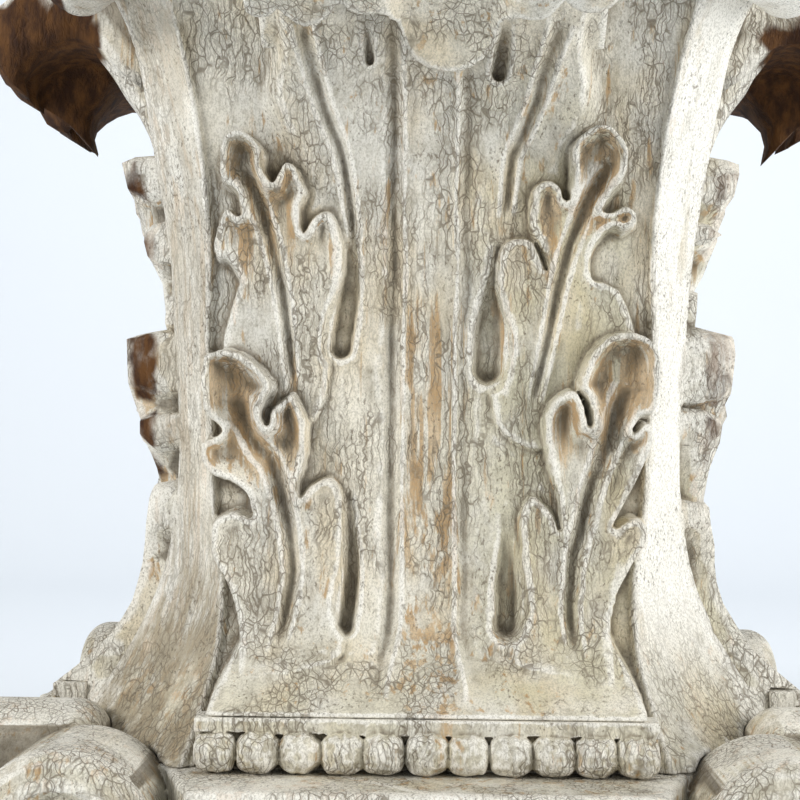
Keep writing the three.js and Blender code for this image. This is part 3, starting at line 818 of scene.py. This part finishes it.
class Nodes:
    # short hand for building a material
    def __init__(self, name):
        self.material = bpy.data.materials.new(name)
        self.material.use_nodes = True
        self.tree = self.material.node_tree
        self.shader = self.tree.nodes["Principled BSDF"]

    def add(self, kind, **settings):
        node = self.tree.nodes.new(kind)
        for key, value in settings.items():
            setattr(node, key, value)
        return node

    def join(self, source, target):
        self.tree.links.new(source, target)

    def place(self, scale, rotation=(0, 0, 0)):
        if not hasattr(self, "coords"):
            self.coords = self.add("ShaderNodeTexCoord")
        node = self.add("ShaderNodeMapping")
        node.inputs["Scale"].default_value = scale
        node.inputs["Rotation"].default_value = rotation
        self.join(self.coords.outputs["Object"], node.inputs["Vector"])
        return node.outputs["Vector"]

    def noise(self, scale, detail=4.0, rough=0.55, size=1.0, distort=0.0):
        node = self.add("ShaderNodeTexNoise")
        node.inputs["Scale"].default_value = size
        node.inputs["Detail"].default_value = detail
        node.inputs["Roughness"].default_value = rough
        node.inputs["Distortion"].default_value = distort
        self.join(self.place(scale), node.inputs["Vector"])
        return node.outputs["Fac"]

    def cracks(self, scale, warp):
        # cell edges that waver from side to side
        bend = self.add("ShaderNodeTexNoise")
        bend.inputs["Detail"].default_value = 3.0
        self.join(self.place((38, 38, 85)), bend.inputs["Vector"])
        bend.inputs["Scale"].default_value = 1.0
        mixed = self.add("ShaderNodeVectorMath", operation="MULTIPLY_ADD")
        self.join(bend.outputs["Color"], mixed.inputs[0])
        mixed.inputs[1].default_value = (warp, warp, warp * 0.3)
        self.join(self.place(scale), mixed.inputs[2])
        node = self.add("ShaderNodeTexVoronoi", feature="DISTANCE_TO_EDGE")
        node.inputs["Scale"].default_value = 1.0
        self.join(mixed.outputs[0], node.inputs["Vector"])
        return node.outputs["Distance"]

    def math(self, operation, a, b=None, clamp=False):
        node = self.add("ShaderNodeMath", operation=operation, use_clamp=clamp)
        for socket, value in ((node.inputs[0], a), (node.inputs[1], b)):
            if value is None:
                continue
            if isinstance(value, (int, float)):
                socket.default_value = value
            else:
                self.join(value, socket)
        return node.outputs[0]

    def between(self, value, low, high):
        node = self.add("ShaderNodeMapRange", interpolation_type="SMOOTHSTEP")
        node.inputs["From Min"].default_value = low
        node.inputs["From Max"].default_value = high
        self.join(value, node.inputs["Value"])
        return node.outputs["Result"]

    def blend(self, factor, first, second, mode="MIX"):
        node = self.add("ShaderNodeMix", data_type="RGBA", blend_type=mode)
        for socket, value in ((node.inputs[0], factor), (node.inputs[6], first), (node.inputs[7], second)):
            if isinstance(value, (int, float)):
                socket.default_value = value
            elif isinstance(value, (list, tuple)):
                socket.default_value = value
            else:
                self.join(value, socket)
        return node.outputs[2]

    def mask(self, name):
        return self.add("ShaderNodeAttribute", attribute_name=name).outputs["Fac"]


limewash = {
    "wash": "e6dfce",
    "washCool": "d9d5ca",
    "washWarm": "d9c9aa",
    "green": "c2b990",
    "wood": "b08d5e",
    "woodPale": "cdb491",
    # chalk white, also used to paint the lit right side of the bands
    "chalkAndLitSide": "f8f4ea",
    "grime": "9a927f",
    # stain brown, also used to paint the shaded left side darker
    "stainAndShadedSide": "a3957b",
    # dirt with painted shade for the hollows; the deep colour is the darkest of it, painted into the deepest
    # hollows
    "dirtAndShade": "786c58",
    "deep": "443a2c",
    "bare": "341c0b",
    "bareEdge": "63401d",
    "crack": "685c4a",
    "roughness": 0.82,
    "bump": 0.6,
    "grimeShare": 0.45,
    "crackShare": 0.8,
}


def limewashMaterial(name, look):
    n = Nodes(name)
    # thick and thin wash in cloudy patches
    colour = n.blend(n.between(n.noise((14, 14, 9), 5, 0.6), 0.38, 0.62),
                     srgb(look["wash"]), srgb(look["washCool"]))
    warm = n.between(n.noise((26, 26, 10), 4, 0.55), 0.46, 0.68)
    colour = n.blend(n.math("MULTIPLY", warm, 0.75), colour, srgb(look["washWarm"]))
    cast = n.math("MULTIPLY", n.mask("cast"), n.between(n.noise((38, 38, 22), 4, 0.6), 0.3, 0.62))
    colour = n.blend(n.math("MULTIPLY", cast, 0.5), colour, srgb(look["green"]))
    grime = n.between(n.noise((48, 48, 30), 6, 0.68), 0.46, 0.72)
    colour = n.blend(n.math("MULTIPLY", grime, look["grimeShare"]), colour, srgb(look["grime"]))
    mottle = n.between(n.noise((210, 210, 95), 5, 0.7), 0.5, 0.68)
    colour = n.blend(n.math("MULTIPLY", mottle, look["grimeShare"]), colour, srgb(look["grime"]))
    # the wood showing in long streaks and where broad faces have been rubbed
    streak = n.noise((170, 170, 7), 5, 0.62)
    rubbed = n.math("ADD", n.math("MULTIPLY", n.mask("grain"), 0.11), n.math("MULTIPLY", n.mask("rub"), 0.18))
    patch = n.math("MULTIPLY", n.math("SUBTRACT", n.noise((40, 40, 14), 5, 0.6), 0.5), 0.45)
    rubbed = n.math("ADD", n.math("ADD", rubbed, streak), patch)
    wood = n.blend(n.between(n.noise((90, 90, 16), 4, 0.6), 0.4, 0.62),
                   srgb(look["wood"]), srgb(look["woodPale"]))
    colour = n.blend(n.math("MULTIPLY", n.between(rubbed, 0.59, 0.69), 0.9), colour, wood)
    # chalky white on proud edges and on the smooth bands; on the bands it also paints the right side lighter,
    # as painted light falling from the right
    edge = n.math("ADD", n.mask("wear"), n.math("SUBTRACT", n.noise((130, 130, 50), 5, 0.6), 0.55))
    colour = n.blend(n.math("MULTIPLY", n.between(edge, 0.1, 0.6), 0.65), colour, srgb(look["chalkAndLitSide"]))
    flat = n.math("MULTIPLY", n.mask("chalkAndLitSide"), n.between(n.noise((60, 60, 12), 5, 0.6), 0.26, 0.48))
    colour = n.blend(n.math("MULTIPLY", flat, 0.95), colour, srgb(look["chalkAndLitSide"]))
    # stain on the left band and foot, partly real stain and partly painted shade on the side away from the
    # light on the right
    stainAndShadedSide = n.math("MULTIPLY", n.mask("stainAndShadedSide"), n.between(n.noise((50, 50, 12), 6, 0.7), 0.36, 0.56))
    colour = n.blend(n.math("MULTIPLY", stainAndShadedSide, 0.85), colour, srgb(look["stainAndShadedSide"]))
    # long wavy cracks down the grain, finer ones between, and pits
    here = n.between(n.noise((30, 30, 14), 4, 0.6), 0.4, 0.56)
    here = n.math("MULTIPLY", here, n.math("SUBTRACT", 1.0, n.math("MULTIPLY", n.mask("chalkAndLitSide"), 0.85)))
    coarse = n.math("SUBTRACT", 1.0, n.between(n.cracks((230, 230, 20), 2.4), 0.01, 0.1))
    fine = n.math("SUBTRACT", 1.0, n.between(n.cracks((460, 460, 42), 3.0), 0.01, 0.14))
    line = n.math("MULTIPLY", n.math("MAXIMUM", coarse, n.math("MULTIPLY", fine, 0.45)), here)
    colour = n.blend(n.math("MULTIPLY", line, look["crackShare"]), colour, srgb(look["crack"]))
    speckle = n.between(n.noise((1000, 1000, 700), 2, 0.6), 0.46, 0.62)
    colour = n.blend(n.math("MULTIPLY", speckle, 0.42), colour, srgb(look["grime"]))
    pits = n.between(n.noise((560, 560, 330), 3, 0.6), 0.57, 0.66)
    pits = n.math("MULTIPLY", pits, n.between(n.noise((55, 55, 30), 4, 0.6), 0.4, 0.6))
    colour = n.blend(n.math("MULTIPLY", pits, 0.65), colour, srgb(look["crack"]))
    # dirt and painted shade in the hollows, darkest in the deepest ones
    hollowDirtAndShade = n.math("ADD", n.math("MULTIPLY", n.mask("dirtAndShade"), 0.9),
                  n.math("MULTIPLY", n.noise((70, 70, 45), 6, 0.65), 0.5))
    colour = n.blend(n.math("MULTIPLY", n.between(hollowDirtAndShade, 0.5, 1.05), 0.62), colour, srgb(look["dirtAndShade"]))
    colour = n.blend(n.math("MULTIPLY", n.between(hollowDirtAndShade, 0.95, 1.35), 0.75), colour, srgb(look["deep"]))
    # brown wood left bare on the undersides and the lobe sides, stronger on the left lobes as painted shade
    ragged = n.math("MULTIPLY", n.math("SUBTRACT", n.noise((75, 75, 40), 6, 0.65), 0.5), 0.9)
    bare = n.math("ADD", n.mask("bare"), ragged)
    brown = n.blend(n.between(n.noise((110, 110, 40), 5, 0.65), 0.35, 0.7),
                    srgb(look["bare"]), srgb(look["bareEdge"]))
    colour = n.blend(n.between(bare, 0.25, 0.85), colour, brown)
    n.join(colour, n.shader.inputs["Base Color"])
    rough = n.math("ADD", n.math("MULTIPLY", n.noise((120, 120, 50), 3, 0.5), 0.2),
                   look["roughness"] - 0.1, True)
    n.join(rough, n.shader.inputs["Roughness"])
    n.shader.inputs["Specular IOR Level"].default_value = 0.3
    height = n.math("ADD", n.math("MULTIPLY", n.noise((260, 260, 70), 6, 0.68), 0.7),
                    n.math("MULTIPLY", streak, 0.6))
    height = n.math("SUBTRACT", height, n.math("MULTIPLY", line, 0.5))
    height = n.math("SUBTRACT", height, n.math("MULTIPLY", pits, 0.4))
    bump = n.add("ShaderNodeBump")
    bump.inputs["Strength"].default_value = look["bump"]
    bump.inputs["Distance"].default_value = 0.002
    n.join(height, bump.inputs["Height"])
    n.join(bump.outputs["Normal"], n.shader.inputs["Normal"])
    return n.material


def dress(obj, node, material):
    obj.data.materials.clear()
    obj.data.materials.append(material)
    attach(obj, "root")
    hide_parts(node)


def bellMasks(obj, points, normals):
    # where the wood shows, the chalk stays white, the green cast lies and the brown undersides are; the right
    # band's extra white and the left band's stain are partly paint and partly painted light and shade
    x, y, z = (points / mm).T
    values = {name: np.zeros(len(x)) for name in ("rub", "grain", "chalkAndLitSide", "cast", "bare", "stainAndShadedSide")}
    quarter = np.where(np.abs(y) >= np.abs(x), np.where(y < 0, 0, 2), np.where(x > 0, 1, 3))
    for number, face in enumerate(faceOrder):
        mine = np.nonzero(quarter == number)[0]
        across, out = turnToFace(x[mine], y[mine], face)
        side = across if face in ("front", "back") else -across
        height = z[mine]
        inner = curveThrough(bell["bandInner"])(height)
        onBand = smooth(inner - 1, inner + 4, np.abs(side))
        onStem = (1 - smooth(15, 19, np.abs(side))) * (1 - 0.8 * smooth(300, 420, height))
        rub = np.zeros(len(mine))
        for spray in sprays.values():
            depth = sprayRelief(side, height - bell["shift"][face] * (1 - smooth(330, 400, height)), spray)[3]
            high = spray["high"]
            rub = np.maximum(rub, smooth(2.5, 7, depth) * smooth(high - 95, high - 35, height))
        values["rub"][mine] = rub
        values["grain"][mine] = np.maximum(onStem, 0.9 * onBand * (side < 0))
        # right band whiter, left band stained darker: partly paint, partly painted light and shade for light
        # from the right
        values["chalkAndLitSide"][mine] = onBand * np.where(side > 0, 1.0, 0.55) * smooth(100, 190, height)
        values["stainAndShadedSide"][mine] = onBand * (side < 0) * (0.5 + 0.5 * (1 - smooth(160, 240, height)))
        cast = smooth(-10, 50, side) * (1 - smooth(112, 128, side)) * (1 - smooth(420, 520, height))
        values["cast"][mine] = np.maximum(cast, 0.6 * (1 - smooth(125, 190, height)))
        if face in ("left", "right"):
            leaf = curveThrough(bell["leafDepth"])(height)
            proud = out - leaf
            turned = smooth(0.15, 0.5, np.abs(normals[mine][:, 1]))
            lobe = smooth(2, 8, proud) * turned * smooth(150, 190, height) * (1 - smooth(440, 458, height))
            tip = smooth(462, 476, height) * smooth(2, 10, out - 212)
            tip = tip * smooth(-0.75, -0.35, -normals[mine][:, 2])
            tip *= 1 - 0.8 * smooth(0.6, 0.9, normals[mine][:, 0] * (1 if face == "right" else -1))
            # brown on lobe sides, stronger on the left as painted shade, and on the tips' undersides
            values["bare"][mine] = np.maximum(bell["lobeBareAndShade"][face] * lobe, 1.4 * tip)
            values["rub"][mine] = np.maximum(values["rub"][mine], lobe)
    for name, amounts in values.items():
        addMask(obj, name, amounts)


def plainMasks(obj, grain, cast):
    count = len(obj.data.vertices)
    amounts = {"rub": 0.0, "grain": grain, "chalkAndLitSide": 0.0, "cast": cast, "bare": 0.0, "stainAndShadedSide": 0.0}
    for name, amount in amounts.items():
        addMask(obj, name, np.full(count, amount))


bellObject = makeBell()
bellMasks(bellObject, *paintMasks(bellObject, 5, 20, 0.7, 1.9))
plinthObject = makePlinth()
paintMasks(plinthObject, 6, 50, 0.8, 4.0)
plainMasks(plinthObject, 0.3, 0.5)
mouldings = {}
for faceName in faceOrder:
    strip = makeMoulding(faceName)
    paintMasks(strip, 6, 50, 0.5, 1.6)
    plainMasks(strip, 0.0, 0.7)
    mouldings[faceName] = strip
abacusObject = makeAbacus()
paintMasks(abacusObject, 6, 50, 0.8, 4.0)
plainMasks(abacusObject, 0.3, 0.2)
print("shapes done")

dress(bellObject, "bell_with_leaves", limewashMaterial("limewash_bell", limewash))
plinthLook = dict(limewash, grimeShare=plinth["grimeShare"])
dress(plinthObject, "plinth_with_scrolls", limewashMaterial("limewash_plinth", plinthLook))
mouldingMaterial = limewashMaterial("limewash_moulding", dict(limewash, grimeShare=moulding["grimeShare"]))
for faceName, strip in mouldings.items():
    dress(strip, "bead_moulding_" + faceName, mouldingMaterial)
dress(abacusObject, "abacus", limewashMaterial("limewash_abacus", limewash))
print("materials done")

# floor, light and camera

stage = {
    "floorColour": "eef2f6",
    "floorSize": 8.0,
    "worldColour": "eaf0f6",
    "worldStrength": 0.52,
    # name: (place, what it points at, size, power)
    "lamps": {
        "key": ((-2.4, -1.7, 1.5), (0, 0, 0.3), 0.7, 56.0),
        "fill": ((2.6, -1.2, 1.0), (0, 0, 0.3), 2.0, 66.0),
        "backdrop": ((0.0, 0.9, 2.4), (0, 2.4, 0.2), 2.6, 14.0),
    },
}
view = {
    "place": (0.0, -1.0, 0.27),
    "focal": 63.0,
    "up": 1.84,
    "left": 1.19,
    "roll": 0.55,
}


def makeStage():
    # floor that runs up into a backdrop
    deep = stage["floorSize"]
    profile = [(-deep / 2, 0.0), (1.6, 0.0)]
    for step in range(1, 13):
        angle = step / 12 * math.pi / 2
        profile.append((1.6 + math.sin(angle), 1.0 - math.cos(angle)))
    profile.append((2.6, 4.0))
    verts = []
    faces = []
    for side in (-deep / 2, deep / 2):
        verts += [(side, y, z) for y, z in profile]
    count = len(profile)
    for k in range(count - 1):
        faces.append((k, k + 1, count + k + 1, count + k))
    mesh = bpy.data.meshes.new("backdrop")
    mesh.from_pydata(verts, [], faces)
    mesh.polygons.foreach_set("use_smooth", [True] * len(faces))
    obj = bpy.data.objects.new("backdrop", mesh)
    bpy.context.scene.collection.objects.link(obj)
    material = bpy.data.materials.new("backdrop")
    material.use_nodes = True
    shader = material.node_tree.nodes["Principled BSDF"]
    shader.inputs["Base Color"].default_value = srgb(stage["floorColour"])
    shader.inputs["Roughness"].default_value = 0.95
    mesh.materials.append(material)
    world = bpy.data.worlds.new("studio")
    world.use_nodes = True
    background = world.node_tree.nodes["Background"]
    background.inputs["Color"].default_value = srgb(stage["worldColour"])
    background.inputs["Strength"].default_value = stage["worldStrength"]
    bpy.context.scene.world = world
    for name, (place, target, size, power) in stage["lamps"].items():
        light = bpy.data.lights.new(name, "AREA")
        light.size = size
        light.energy = power
        lamp = bpy.data.objects.new(name, light)
        lamp.location = place
        aim = Vector(target) - Vector(place)
        lamp.rotation_euler = aim.to_track_quat("-Z", "Y").to_euler()
        bpy.context.scene.collection.objects.link(lamp)


def makeCamera():
    data = bpy.data.cameras.new("camera")
    data.lens = view["focal"]
    data.sensor_width = 36.0
    camera = bpy.data.objects.new("camera", data)
    camera.location = view["place"]
    aim = Euler((math.radians(90 + view["up"]), 0, math.radians(view["left"])), "XYZ").to_matrix()
    roll = Euler((0, 0, math.radians(view["roll"])), "XYZ").to_matrix()
    camera.rotation_euler = (aim @ roll).to_euler()
    bpy.context.scene.collection.objects.link(camera)
    bpy.context.scene.camera = camera


makeStage()
makeCamera()
bpy.context.scene.view_settings.view_transform = "Standard"
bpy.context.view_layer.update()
